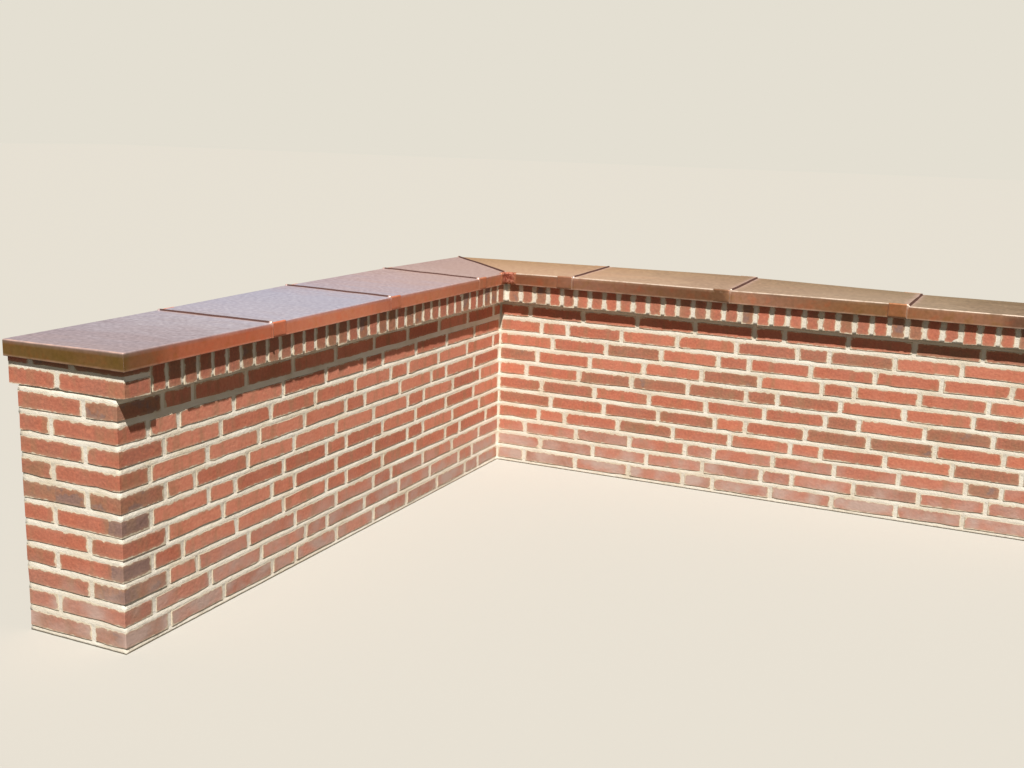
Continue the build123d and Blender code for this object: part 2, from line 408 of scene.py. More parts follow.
def brick_material():
    """Fired clay facing brick, machine pressed: smooth salmon-red faces, clouded where the kiln was
    hotter, a dull sandy skin, and smears of mortar and a thin film of cement left along the edges."""
    material, shader, add = bare_material("fired_clay_facing_brick")
    here = add("TexCoord", out="Object")
    tone = add("Attribute", attribute_name="tone", out="Fac")
    batch = add("Attribute", attribute_name="batch", out="Fac")
    place = add("Attribute", attribute_name="place", out="Vector")
    half = add("Attribute", attribute_name="half", out="Vector")

    # Each brick has its own tone from the kiln, clouded over some 60 mm and mottled over some 8 mm
    own = add("VectorMath", {0: here, 1: batch}, operation="ADD")
    cloud = add("TexNoise", {"Vector": own, "Scale": 16.0, "Detail": 3.0})
    mottle = add("TexNoise", {"Vector": own, "Scale": 120.0, "Detail": 4.0})
    shade = add("Math", {0: cloud, 1: 0.5, 2: -0.25}, operation="MULTIPLY_ADD")
    level = add("Math", {0: tone, 1: shade}, operation="ADD")
    base = add("ValToRGB", {"Fac": level}, stops=[
        (0.0, "#E28F73"), (0.25, "#D68165"), (0.6, "#C6745A"), (0.8, "#B8725A"), (0.97, "#A8765C"),
        (1.0, "#94746A")])
    fleck = add("ValToRGB", {"Fac": mottle}, stops=[(0.3, "#A09A96"), (0.5, "#BCBCBC"), (0.72, "#E4DCD2")])
    mixed = add("Mix", {0: 0.42, 6: base, 7: fleck}, data_type="RGBA", blend_type="OVERLAY", out=2)

    # Brown bands down the face, some 40 mm wide, where the bricks leaned on each other in the kiln
    tall = add("Mapping", {"Vector": own, "Scale": (1.0, 1.0, 0.3)})
    kiss = add("TexNoise", {"Vector": tall, "Scale": 22.0, "Detail": 4.0})
    kiss = add("MapRange", {0: kiss, 1: 0.52, 2: 0.68, 3: 0.0, 4: 0.45})
    mixed = add("Mix", {0: kiss, 6: mixed, 7: "#A5815F"}, data_type="RGBA", out=2)

    # Lime haze rising from the ground on the lowest courses, in patches of some 110 mm
    height = add("SeparateXYZ", {0: here}, out="Z")
    rise = add("MapRange", {0: height, 1: 0.25, 2: 0.07, 3: 0.0, 4: 0.95})
    veil = add("TexNoise", {"Vector": own, "Scale": 9.0, "Detail": 3.0})
    veil = add("MapRange", {0: veil, 1: 0.4, 2: 0.64, 3: 0.3, 4: 1.0})
    haze = add("Math", {0: rise, 1: veil}, operation="MULTIPLY")
    faint = add("Math", {0: veil, 1: 0.1, 2: haze}, operation="MULTIPLY_ADD")
    hazed = add("Mix", {0: faint, 6: mixed, 7: "#CDAFA2"}, data_type="RGBA", out=2)

    # Distance to the nearest edge that mortar lies on, leaving out the axis that the face looks along
    size = add("VectorMath", {0: place}, operation="ABSOLUTE")
    gap = add("VectorMath", {0: half, 1: size}, operation="SUBTRACT")
    gaps = add("SeparateXYZ", {0: gap}).node.outputs
    facing = add("NewGeometry", out="True Normal")
    facing = add("VectorMath", {0: facing}, operation="ABSOLUTE")
    facing = add("SeparateXYZ", {0: facing}).node.outputs
    edge = 1.0
    for axis in range(3):
        own_axis = add("Math", {0: facing[axis], 1: 0.85}, operation="GREATER_THAN")
        width = add("Math", {0: own_axis, 1: gaps[axis]}, operation="ADD")
        edge = add("Math", {0: edge, 1: width, 2: 16 * MM}, operation="SMOOTH_MIN")

    # Smears of mortar in from that edge, ragged over some 20 mm, and a thin film beyond them
    ragged = add("TexNoise", {"Vector": here, "Scale": 50.0, "Detail": 4.0})
    reach = add("MapRange", {0: ragged, 1: 0.38, 2: 0.68, 3: 0.8 * MM, 4: 7.5 * MM})
    rise_in_brick = add("VectorMath", {0: place, 1: half}, operation="ADD")
    rise_in_brick = add("SeparateXYZ", {0: rise_in_brick}, out="Z")
    upper = add("MapRange", {0: rise_in_brick, 1: 4 * MM, 2: 14 * MM, 3: 0.7, 4: 1.0})
    reach = add("Math", {0: reach, 1: upper}, operation="MULTIPLY")
    inside = add("Math", {0: reach, 1: edge}, operation="SUBTRACT")
    smear = add("MapRange", {0: inside, 1: -1.2 * MM, 2: 1.2 * MM, 3: 0.0, 4: 0.9})
    film = add("MapRange", {0: edge, 1: 0.0, 2: 12 * MM, 3: 0.5, 4: 0.0})
    final = add("Mix", {0: film, 6: hazed, 7: "#CBA588"}, data_type="RGBA", out=2)
    final = add("Mix", {0: smear, 6: final, 7: "#E6D8BE"}, data_type="RGBA", out=2)
    # Painted shade: faces that look up, mostly the upper arrises, darken to a little over half
    final = shade_upward_faces(add, final, 0.25, 0.75, 0.55)

    # Sandy skin, grains of about 1.5 mm, and shallow dents over some 12 mm
    grain = add("TexNoise", {"Vector": here, "Scale": 650.0, "Detail": 2.0})
    dents = add("TexNoise", {"Vector": own, "Scale": 80.0, "Detail": 3.0})
    relief = add("Math", {0: dents, 1: 3.0, 2: grain}, operation="MULTIPLY_ADD")
    bump = add("Bump", {"Height": relief, "Strength": 0.5, "Distance": 0.8 * MM})
    plug(shader, {"Base Color": final, "Normal": bump, "Roughness": 0.9, "Specular IOR Level": 0.25,
                  "IOR": 1.45})
    return material


def mortar_material():
    """Lime and cement mortar, struck with the trowel: pale cream, sandy, a little darker where damp,
    with painted light on the faces along X, those of the left leg, and painted shade where it looks up."""
    material, shader, add = bare_material("lime_cement_mortar")
    here = add("TexCoord", out="Object")

    # Patches of some 110 mm and sand of some 3 mm
    patch = add("TexNoise", {"Vector": here, "Scale": 9.0, "Detail": 4.0})
    base = add("ValToRGB", {"Fac": patch}, stops=[(0.3, "#E4D8C3"), (0.5, "#EFE6D6"), (0.7, "#F5EEE0")])
    sand = add("TexNoise", {"Vector": here, "Scale": 380.0, "Detail": 3.0})
    speck = add("ValToRGB", {"Fac": sand}, stops=[(0.35, "#A8A298"), (0.55, "#BEBEBE")])
    mixed = add("Mix", {0: 0.35, 6: base, 7: speck}, data_type="RGBA", blend_type="OVERLAY", out=2)
    # Painted light: faces along X, which the sun meets less, are made paler
    along_x = add("NewGeometry", out="Normal")
    along_x = add("SeparateXYZ", {0: along_x}, out="X")
    along_x = add("Math", {0: along_x}, operation="ABSOLUTE")
    painted_light_on_x = add("MapRange", {0: along_x, 1: 0.5, 2: 0.9, 3: 1.0, 4: 1.12})
    mixed = add("VectorMath", {0: mixed, 3: painted_light_on_x}, operation="SCALE")

    # Drag of the trowel, over some 10 mm, and the sand
    drag = add("TexNoise", {"Vector": here, "Scale": 95.0, "Detail": 3.0})
    relief = add("Math", {0: drag, 1: 2.0, 2: sand}, operation="MULTIPLY_ADD")
    bump = add("Bump", {"Height": relief, "Strength": 0.6, "Distance": 1.2 * MM})
    # Painted shade: mortar faces that look up darken to four fifths
    plug(shader, {"Base Color": shade_upward_faces(add, mixed, 0.15, 0.6, 0.8), "Normal": bump, "Roughness": 0.93})
    return material


# Mortar

FLAT_RECESS = 1.9 * MM           # depth of the upright joints
X_SLOPE = 0.5                    # how much more the beds slope on faces that look along X, as a share
TROWEL_STEP = 14 * MM            # between points along a face
TROWEL_WAVES = ((60, 0.35), (22, 0.3))                 # wavelengths and heights of its unevenness
# Height above the foot of a course, whose bed comes first, and how deep the mortar lies there
COURSE_PROFILE = ((0, 1.0), (6, 1.25), (11, 1.6), (14.5, 2.1), (17, 2.1), (40, 1.9), (58, 1.8), (64, 1.4))
HEAD_PROFILE = ((0, 1.0), (8, 1.8), (15, 4.0))         # the same for the bed under the band


def mortar_mass(name, plan, levels, recess, seed, material):
    """The mortar round the bricks as one closed mass. A plan outline is sampled at even steps and
    carried up through a list of levels; each point moves into the wall, along the normal of its
    side, by the recess of its level plus a smooth random field; on faces that look along X the
    beds slope more. Both ends are closed by a face."""
    plan = np.array(plan)
    points, normals = [], []
    sides = np.roll(plan, -1, axis=0) - plan
    lengths = np.linalg.norm(sides, axis=1)
    outward = np.stack([sides[:, 1], -sides[:, 0]], axis=1) / lengths[:, None]
    for k in range(len(plan)):
        share = np.arange(0, 1, 1 / max(1, round(lengths[k] / TROWEL_STEP)))[:, None]
        run = plan[k] + share * sides[k]
        face = np.repeat(outward[k:k + 1], len(run), axis=0)
        face[0] = outward[k] + outward[k - 1]
        points.append(run)
        normals.append(face)
    points, normals = np.concatenate(points), np.concatenate(normals)
    ring = len(points)
    grid = np.zeros((len(levels), ring, 3))
    grid[:, :, :2] = points
    grid[:, :, 2] = np.array(levels)[:, None]
    slope = 1 + X_SLOPE * np.abs(normals[:, 0])
    inward = FLAT_RECESS + (np.array(recess)[:, None] - FLAT_RECESS) * slope
    inward = inward + waves(grid, seed, TROWEL_WAVES)
    grid[:, :, :2] -= normals * inward[..., None]
    quads = cells(len(levels), ring, closed=True)[0]
    caps = np.stack([np.arange(ring)[::-1], (len(levels) - 1) * ring + np.arange(ring)])
    piece = skin(name, grid.reshape(-1, 3), [quads, caps], material, smooth=True)
    return piece


def course_levels():
    """Heights of the mortar rows from the ground to the band, and how deep the mortar lies at each:
    struck flat, nearly flush in the beds and a little deeper in the upright joints."""
    levels, recess = [], []
    for k in range(course_count + 1):
        for rise, depth in COURSE_PROFILE if k < course_count else HEAD_PROFILE:
            levels.append(k * COURSE + rise * MM)
            recess.append(depth * MM)
    return levels, recess


def corner_plan(grow):
    """The whole wall in plan, with its long sides moved out by grow."""
    return [(cx + grow, free_end), (cx + grow, cy - grow), (far_end, cy - grow), (far_end, garden_y + grow),
            (garden_x - grow, garden_y + grow), (garden_x - grow, free_end)]


clay = brick_material()
lime = mortar_material()

# Walls
LEFT_TONES_PAINTED_LIGHT = (-0.3, 0.6)         # paler bricks on the left leg: painted light, as its faces get less sun
left_bricks, right_bricks = courses()
left_wall_bricks = brick_shells("left_wall_bricks", left_bricks, 21, clay, LEFT_TONES_PAINTED_LIGHT)
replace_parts(left_wall_bricks, "left_wall")
right_wall_bricks = brick_shells("right_wall_bricks", right_bricks, 22, clay)
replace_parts(right_wall_bricks, "right_wall")
wall_levels, wall_recess = course_levels()
wall_mortar = mortar_mass("wall_mortar", corner_plan(0), wall_levels, wall_recess, 31, lime)
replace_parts(wall_mortar, "left_wall", "right_wall")

# Band: bricks on edge along both faces, and two flat courses at each end and at the outer corner
SET_BACK = (7 * MM, -4.5 * MM)   # how far the left inner bricks on edge lie back: free end, corner
RIGHT_SET_BACK = 4.5 * MM        # and the right ones
END_DEPTH = 105 * MM             # end bricks of the left leg are cut a little shorter
CLOSE_JOINT = 11 * MM            # between the left inner bricks on edge
WEDGE = 20 * MM                  # mortar in the inner corner of the band
LOWER_END = [BAT_LENGTH, BRICK_LENGTH]                 # flat courses of an end, from the garden side
UPPER_END = [80 * MM, 143 * MM, 180 * MM]
BAND_RECESS = 1.6 * MM           # depth of its joints
BAND_ROWS = 13                   # rows of points up its mortar
HIDDEN = 8 * MM                  # the mortar stops this far below the copper
inner_x, inner_y = cx + projection, cy - projection
outer_x, outer_y = garden_x - projection, garden_y + projection
taper = (SET_BACK[0] - SET_BACK[1]) / left_length
band_left_inner = Side((inner_x - SET_BACK[0], free_end), (taper, 1), (-1, taper))
band_left_garden = Side((outer_x, free_end), (0, 1), (1, 0))
band_left_end = Side((outer_x, free_end), (1, 0), (0, 1))
band_right_inner = Side((cx, inner_y + RIGHT_SET_BACK), (1, 0), (0, 1))
band_right_garden = Side((outer_x, outer_y), (1, 0), (0, -1))
band_right_end = Side((far_end, inner_y), (0, 1), (-1, 0))
band_corner_left = Side((outer_x, outer_y), (0, -1), (1, 0))
left_inner_length = left_length - projection
left_outer, right_outer = (length + thickness + projection for length in (left_length, right_length))
band_width = thickness + 2 * projection
end_run = BRICK_WIDTH + JOINT
quoin_run = BRICK_LENGTH + JOINT
upper_foot = band_head - BRICK_HEIGHT


def row_on_edge(side, start, finish, depth, gap=JOINT):
    """Bricks on edge side by side, with equal joints, from one length of a side to another."""
    count = round((finish - start + gap) / COURSE)
    pitch = (finish - start + gap) / count
    return [side.upright(start + k * pitch, start + (k + 1) * pitch - gap, wall_head, depth)
            for k in range(count)]


def end_course(side, lengths, foot, depth=BRICK_WIDTH):
    """A flat course across the end of the band: bricks of the given lengths, a quoin at each side."""
    rows, first = [], 0.0
    for number, length in enumerate(lengths):
        quoin = -1 if number == 0 else 1 if number == len(lengths) - 1 else 0
        rows.append(side.brick(first, first + length, foot, depth, quoin=quoin))
        first += length + JOINT
    return rows


band_pieces = {
    "left_band_inner": row_on_edge(band_left_inner, END_DEPTH + CLOSE_JOINT, left_inner_length - WEDGE,
                                   BRICK_LENGTH, CLOSE_JOINT),
    "left_band_garden": row_on_edge(band_left_garden, end_run, left_inner_length - JOINT / 2, BAT_LENGTH),
    "right_band_inner": row_on_edge(band_right_inner, projection + WEDGE, right_length - end_run,
                                    BRICK_LENGTH),
    "right_band_garden": row_on_edge(band_right_garden, band_width + JOINT / 2, right_outer - end_run,
                                     BAT_LENGTH),
    "left_end_course_lower": end_course(band_left_end, LOWER_END, wall_head, END_DEPTH),
    "left_end_course_upper": end_course(band_left_end, UPPER_END, upper_foot, END_DEPTH),
    "right_end_course_lower": end_course(band_right_end, LOWER_END[::-1], wall_head),
    "right_end_course_upper": end_course(band_right_end, UPPER_END[::-1], upper_foot),
    "band_corner": (
        row_on_edge(band_left_garden, left_inner_length + JOINT / 2, left_outer - quoin_run, BAT_LENGTH)
        + row_on_edge(band_right_garden, quoin_run, band_width - JOINT / 2, BAT_LENGTH)
        + [band_right_garden.brick(0, BRICK_LENGTH, wall_head, quoin=-1),
           band_right_garden.brick(0, BRICK_WIDTH, upper_foot, BRICK_LENGTH, quoin=-1),
           band_right_garden.brick(end_run, BRICK_LENGTH, upper_foot),
           band_corner_left.brick(end_run, BRICK_LENGTH, wall_head)]),
}
BAND_TONES = {"left_band_garden": LEFT_TONES_PAINTED_LIGHT, "left_band_inner": (0.7, 1.0),
              "right_band_inner": (0.45, 0.98)}
for number, (node, rows) in enumerate(band_pieces.items()):
    tones = BAND_TONES.get(node, END_TONES)
    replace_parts(brick_shells(f"{node}_bricks", rows, 40 + number, clay, tones), node)

# On the inner side the mortar follows the bricks that lie back or stand forward
band_plan = corner_plan(projection)
band_plan[1:3] = [(inner_x, free_end + END_DEPTH + 2 * MM),
                  (inner_x - SET_BACK[0], free_end + END_DEPTH + 4 * MM),
                  (inner_x - SET_BACK[1], inner_y + RIGHT_SET_BACK),
                  (far_end, inner_y + RIGHT_SET_BACK)]
band_levels = np.linspace(wall_head, bedding_head - HIDDEN, BAND_ROWS)
band_mortar = mortar_mass("band_mortar", band_plan, band_levels, np.full(BAND_ROWS, BAND_RECESS), 33, lime)
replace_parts(band_mortar, *band_pieces, "left_bedding", "right_bedding")


# Copper

SHEET = 1 * MM                   # thickness
HEM = 8 * MM                     # lower rim of the edge, folded double
BEND = 4 * MM                    # outside of the bend between top and edge
FOLD_HALF = 4 * MM               # half the width of a fold
FOLD_HEIGHT = 4.5 * MM
FOLD_ON_EDGE = 0.6               # share of that height on the turned-down edges
LAP = 75 * MM                    # edge of a tray that laps over the tray before it
PATCH = 48 * MM                  # patch at the inner corner, along each edge
TOP_FADE = 8 * MM                # drop below the top at which the looks of the edge begin
TOP_WAVES = ((330, 1.2), (120, 0.5))                   # dents of the sheet: wavelengths and heights
EDGE_WAVES = ((210, 0.9),)       # and those of its edges
CALM = 70 * MM                   # the top waves less than this far from its edges
TINY = 0.1 * MM                  # a point nearer than this lies on an edge
GLOW_REACH = 17 * MM             # of the pale band beside a seam
FOLD_TIP = 13 * MM               # rubbed end of a fold on the top
DARK_INSET = 10 * MM             # the dark of a seam stops this far from the edges of the top
DARK_ON_EDGE = 0.35              # and goes on as this share down the edge
HIGHLIGHT_DROP = 1.5 * MM              # drop at which the painted highlight on a bend is brightest
HIGHLIGHT_REACH = 2.0 * MM             # above and below that drop
RIM_REACH = 3 * MM               # height of the bright lower rim
RIM_SHINE = 0.9
TIP_SHINE = 1.8                  # painted highlight on the upright arrises of an end tray
# Lengths along the left leg, and how far the coping lies out to the garden side there
SPREAD = (np.array([0, 1051, 1784, 2440]) * MM, np.array([28, 24, 12, -5]) * MM)
BESIDE_BEND = np.array([7, 12]) * MM                   # first points of the top beside each bend
TOP_INSET = 30 * MM              # the even points of the top start this far from its edges
TOP_POINTS = 9
ROW_GAP = 45 * MM                # between rows of points along a tray
TAIL = np.array([32, 22, 14, 8, 4, 0])[:, None] * MM    # and closer rows before its end
# Rows at a seam: millimetres behind it, share of the fold's height, and how dark the row is
FOLD_ROWS = np.array([(-5, 0, 0.5), (-4, 0, 1), (-3.2, 1, 1), (0, 1.1, 1), (3.2, 1, 1), (4, 0, 1),
                      (6, 0, 0.9), (8, 0, 0), (14, 0, 0), (22, 0, 0), (32, 0, 0)])
BEHIND_FOLD = 4                  # the first of them that a tray without a fold has as well

tray_low, tray_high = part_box("right_corner_tray")
edge_foot, coping_head = tray_low.z, tray_high.z
edge_inner = cy - tray_low.y
edge_garden = tray_high.y - cy
fall = coping_head - edge_foot
across_all = edge_inner + edge_garden


class Leg:
    """A leg of the coping: lengths run from the inner corner, depths behind the inner face. Its shine
    says how bright the bend and the seams on the edge are painted: a painted highlight, with some wear."""

    def __init__(self, name, along, behind, seams, reach, rises, shine):
        self.name = name
        self.along = np.array(along, float)
        self.behind = np.array(behind, float)
        self.ends = [*seams, reach]
        self.rises = rises
        self.bend_shine, self.seam_shine = shine

    def place(self, length, depth, level):
        """Points in the frame from arrays of length, depth and level. The coping was laid wider
        towards the corner: on the left leg a point moves out by the spread at its length times its
        share of the way from the inner edge to the garden edge."""
        plan = corner + length[..., None] * self.along + depth[..., None] * self.behind
        share = np.clip((cx + edge_inner - plan[..., 0]) / across_all, 0, 1)
        plan[..., 0] -= share * np.interp(cy - plan[..., 1], *SPREAD)
        return np.concatenate([plan, level[..., None]], axis=-1)

    def rise(self, number, length, depth):
        """How far a tray's sheet was laid above its level: linear between its four corners."""
        begin = self.ends[number - 1] if number else -depth
        share = np.clip((length - begin) / (self.ends[number] - begin), 0, 1)
        back = np.clip((depth + edge_inner) / across_all, 0, 1)
        inner_start, inner_end, garden_start, garden_end = self.rises[number]
        return MM * ((1 - back) * (inner_start + (inner_end - inner_start) * share)
                     + back * (garden_start + (garden_end - garden_start) * share))


NODES = ("corner_tray", "tray_1", "tray_2", "end_tray")
left_seams = [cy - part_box(f"left_{node}")[1].y + LAP for node in NODES[1:]]
right_seams = [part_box(f"right_{node}")[0].x - cx + LAP for node in NODES[1:]]

# How far each tray lies above its level, in millimetres, at its four corners: inner edge where it
# starts and ends, garden edge where it starts and ends
# The last pair is the shine of the bend and of the seams on the edge: the strength of a painted highlight,
# set by leg
left_leg = Leg("left", (0, -1), (-1, 0), left_seams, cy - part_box("left_end_tray")[0].y,
               [(-2, -3, 1, 6), (-4, -2, 6, 4), (-1, -4, 5, -2), (-4, 1, -3, -4)], (0.1, 1.8))
right_leg = Leg("right", (1, 0), (0, 1), right_seams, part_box("right_end_tray")[1].x - cx,
                [(-2, 2, 1, 10), (2, 2, 9, 15), (2, 4, 10, -2), (-3, -4, -6, -7)], (1.7, 0.9))


def bend_drop(count=5):
    """A quarter bend as pairs: how far it still is from the edge, and how far it has dropped."""
    angle = np.linspace(0, math.pi / 2, count)
    return BEND * (1 - np.sin(angle)), BEND * (1 - np.cos(angle))


def from_sides(depth):
    """How far a depth lies from the nearer edge of the coping."""
    return np.minimum(depth + edge_inner, edge_garden - depth)


def across_tray():
    """The points across a tray, from the foot of the inner edge over the top to the foot of the garden
    edge: how far behind the inner face each lies, how far below the top, and on which side, -1 for
    the inner edge, 0 for the top with its bends and 1 for the garden edge."""
    drops = np.array([fall, fall - 2 * MM, fall - HEM, 0.6 * fall, 0.3 * fall, BEND + 2 * MM])
    edge = np.zeros(len(drops))
    near, drop = bend_drop()
    top = np.concatenate([BESIDE_BEND, np.linspace(TOP_INSET, across_all - TOP_INSET, TOP_POINTS),
                          across_all - BESIDE_BEND[::-1]])
    depth = np.concatenate([edge, near[::-1], top, across_all - near, edge + across_all]) - edge_inner
    below = np.concatenate([drops, drop[::-1], top * 0, drop, drops[::-1]])
    side = np.concatenate([edge - 1, near * 0, top * 0, near * 0, edge + 1])
    return depth, below, side


def tray_sheet(leg, number, material, seed):
    """A folded tray as one closed sheet. Its outer face is a grid: across, it climbs the inner edge,
    bends, crosses the top, bends and goes down the garden edge; along, it runs from the seam to its
    end, where an end tray bends and goes down as well. The drop of a point is the root of the sum
    of the squares of its drops in the two directions. The inner face is the same grid held inside
    the box that is smaller by the sheet, and both faces move together by the rise of the tray and
    by a smooth field, as thin sheet does that has been bent by hand."""
    mitre, closed_end = number == 0, number == len(NODES) - 1
    fold = not mitre or leg is left_leg
    start = 0.0 if mitre else leg.ends[number - 1]
    finish = leg.ends[number]
    depth, depth_drop, side = across_tray()
    wide = len(depth)
    first_bend = np.count_nonzero(side < 0)
    last_bend = wide - first_bend - 1

    # Rows: at the seam, evenly along the tray, close at its end, and down the end of an end tray
    rows = FOLD_ROWS if fold else FOLD_ROWS[BEHIND_FOLD:] * (1, 0, 0)
    steps = rows[:, 0] * MM * (math.sqrt(2) if mitre else 1)
    begin = -depth if mitre else np.full(wide, start)
    end = finish - (BEND if closed_end else 0)
    count = max(2, round((end - start) / ROW_GAP))
    even = np.linspace(0, 1, count + 1)[1:-1, None]
    middle = (begin + steps[-1]) * (1 - even) + (end - TAIL[0]) * even
    length = np.concatenate([begin + steps[:, None], middle, np.repeat(end - TAIL, wide, axis=1)])
    length_drop = np.zeros(len(length))
    end_row = len(length) - 1
    if closed_end:
        near, drop = bend_drop()
        tail = np.concatenate([finish - near[1:], np.full(first_bend, finish)])
        length = np.concatenate([length, np.repeat(tail[:, None], wide, axis=1)])
        length_drop = np.concatenate([length_drop, drop[1:], depth_drop[last_bend + 1:]])
        end_row += len(drop) - 1
    high = len(length)
    lift, dark = np.zeros((2, high, wide))
    lift[:len(rows)], dark[:len(rows)] = rows[:, 1:2], rows[:, 2:3]
    total_drop = np.minimum(np.hypot(depth_drop[None, :], length_drop[:, None]), fall)
    across = np.repeat(depth[None, :], high, axis=0)

    hemmed = (total_drop > fall - HEM - TINY) * SHEET
    inner_depth = np.clip(across, -edge_inner + SHEET, edge_garden - SHEET) - hemmed * side
    inner_length = np.minimum(length, finish - SHEET) if closed_end else length
    ridge = lift * FOLD_HEIGHT
    if mitre:
        ridge = ridge * (depth_drop < BEND)
    ridge = np.where(side == 0, ridge, FOLD_ON_EDGE * ridge)
    outer = leg.place(length, across + ridge * side, coping_head - total_drop + ridge * (side == 0))
    inner = leg.place(inner_length, inner_depth, coping_head - np.maximum(total_drop, SHEET))

    # Rise of the tray, fading down its edges, and the hand-bent sheet
    flat_share = np.clip(1 - total_drop / TOP_FADE, 0, 1)
    calm = np.clip(from_sides(across) / CALM, 0.2, 1)
    upward = (leg.rise(number, length, across) * (1 - total_drop / fall)
              + waves(outer, seed, TOP_WAVES) * calm * flat_share)
    outward = waves(outer, seed + 2, EDGE_WAVES) * (1 - flat_share) * side
    for grid in (outer, inner):
        grid[..., 2] += upward
        grid[..., :2] += outward[..., None] * leg.behind
    points = np.concatenate([outer.reshape(-1, 3), inner.reshape(-1, 3)])

    face, row, column = cells(high, wide)
    face = face[~((row >= end_row) & ((column < first_bend) | (column >= last_bend)))]
    back = face[:, ::-1] + high * wide
    tip = np.arange(first_bend, last_bend + 1) if closed_end else np.arange(wide)
    down = np.arange(end_row + 1) * wide
    faces = [face, back]
    rims = ((np.arange(wide), 1), ((high - 1) * wide + tip, -1), (down, -1), (down + wide - 1, 1))
    for rim, turn in rims:
        quad = np.stack([rim[1:], rim[:-1], rim[:-1] + high * wide, rim[1:] + high * wide], axis=1)
        faces.append(quad[:, ::turn])

    # Marks for the material: bright at bends, rims, arrises, seams on the edge and the ends of folds,
    # partly rubbed metal and partly a painted highlight; pale beside seams
    before_end = np.full_like(length, 1.0) if closed_end else finish - length
    glow = np.exp(-(np.minimum(np.abs(length - begin) if fold else 1.0, before_end) / GLOW_REACH) ** 2)
    on_edge = side != 0
    bent = (total_drop < BEND) & (length < finish - 2 * BEND)
    bright = wear_and_highlight_marks(total_drop, across, length, finish, closed_end) * np.where(bent, leg.bend_shine, 1)
    bright = np.maximum(bright, (on_edge & (lift > 0) & (length < begin)) * leg.seam_shine)
    bright = np.maximum(bright, ((lift > 0) & (from_sides(across) < FOLD_TIP) & ~on_edge) * 1.0)
    dark = dark * np.where(on_edge, (length > begin) * DARK_ON_EDGE, from_sides(across) > DARK_INSET)
    marks = {"top": flat_share, "seam": dark, "wear_and_highlight": bright, "glow": glow,
             "run": length / leg.ends[-1], "back": (across + edge_inner) / across_all}
    marks = {mark: np.tile(values.reshape(-1), 2) for mark, values in marks.items()}
    points, faces, marks = weld(points, np.concatenate(faces), marks)
    node = f"{leg.name}_{NODES[number]}"
    piece = skin(f"{node}_sheet", points, faces, material, smooth=True)
    for mark, values in marks.items():
        note(piece, mark, values)
    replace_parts(piece, node)


def wear_and_highlight_marks(total_drop, across, length, finish, closed_end):
    """Where the sheet is painted bright, partly rubbed metal and partly a painted highlight: along the
    bend, the lower rim and the arris of the end.
    """
    bend = np.exp(-((total_drop - HIGHLIGHT_DROP) / HIGHLIGHT_REACH) ** 2) * (total_drop > 0)
    rim = np.clip(1 - (fall - total_drop) / RIM_REACH, 0, 1)
    marks = np.maximum(bend, RIM_SHINE * rim)
    if closed_end:
        marks = np.maximum(marks, TIP_SHINE * ((from_sides(across) < TINY) & (length > finish - TINY)))
    return marks


def weld(points, faces, marks):
    """Joins points that lie together, drops the ones that no face uses, and turns faces that lost a
    side into triangles or nothing."""
    key = np.round(points / (0.02 * MM)).astype(np.int64)
    _, first, back = np.unique(key, axis=0, return_index=True, return_inverse=True)
    faces = first[back.reshape(-1)][faces]
    same = faces == np.roll(faces, -1, axis=1)
    lost = same.sum(1)
    quads = faces[lost == 0]
    triangles = faces[lost == 1][~same[lost == 1]].reshape(-1, 3)
    used = np.unique(np.concatenate([quads.ravel(), triangles.ravel()]))
    order = np.full(len(points), -1)
    order[used] = np.arange(len(used))
    groups = [order[group] for group in (quads, triangles) if len(group)]
    return points[used], groups, {mark: values[used] for mark, values in marks.items()}


INTO_SHEET = -0.5 * MM           # the back of a plate lies this deep in the sheet
LUMP_SIZE = 15 * MM              # wavelength of the lumps of solder
THINNING = 1.5 * MM              # width over which a plate thins out to its border
SOLDER_FADE = 14 * MM            # width over which solder takes on the colour of the sheet
ARRIS_WIDTH = 1 * MM             # painted highlight along the border of a plate
EDGE_POINTS = 8                  # points of a profile on the edge, then round the bend and on the top
TURN_POINTS = 4
PLATE_ROWS = 19                  # rows of points along a plate


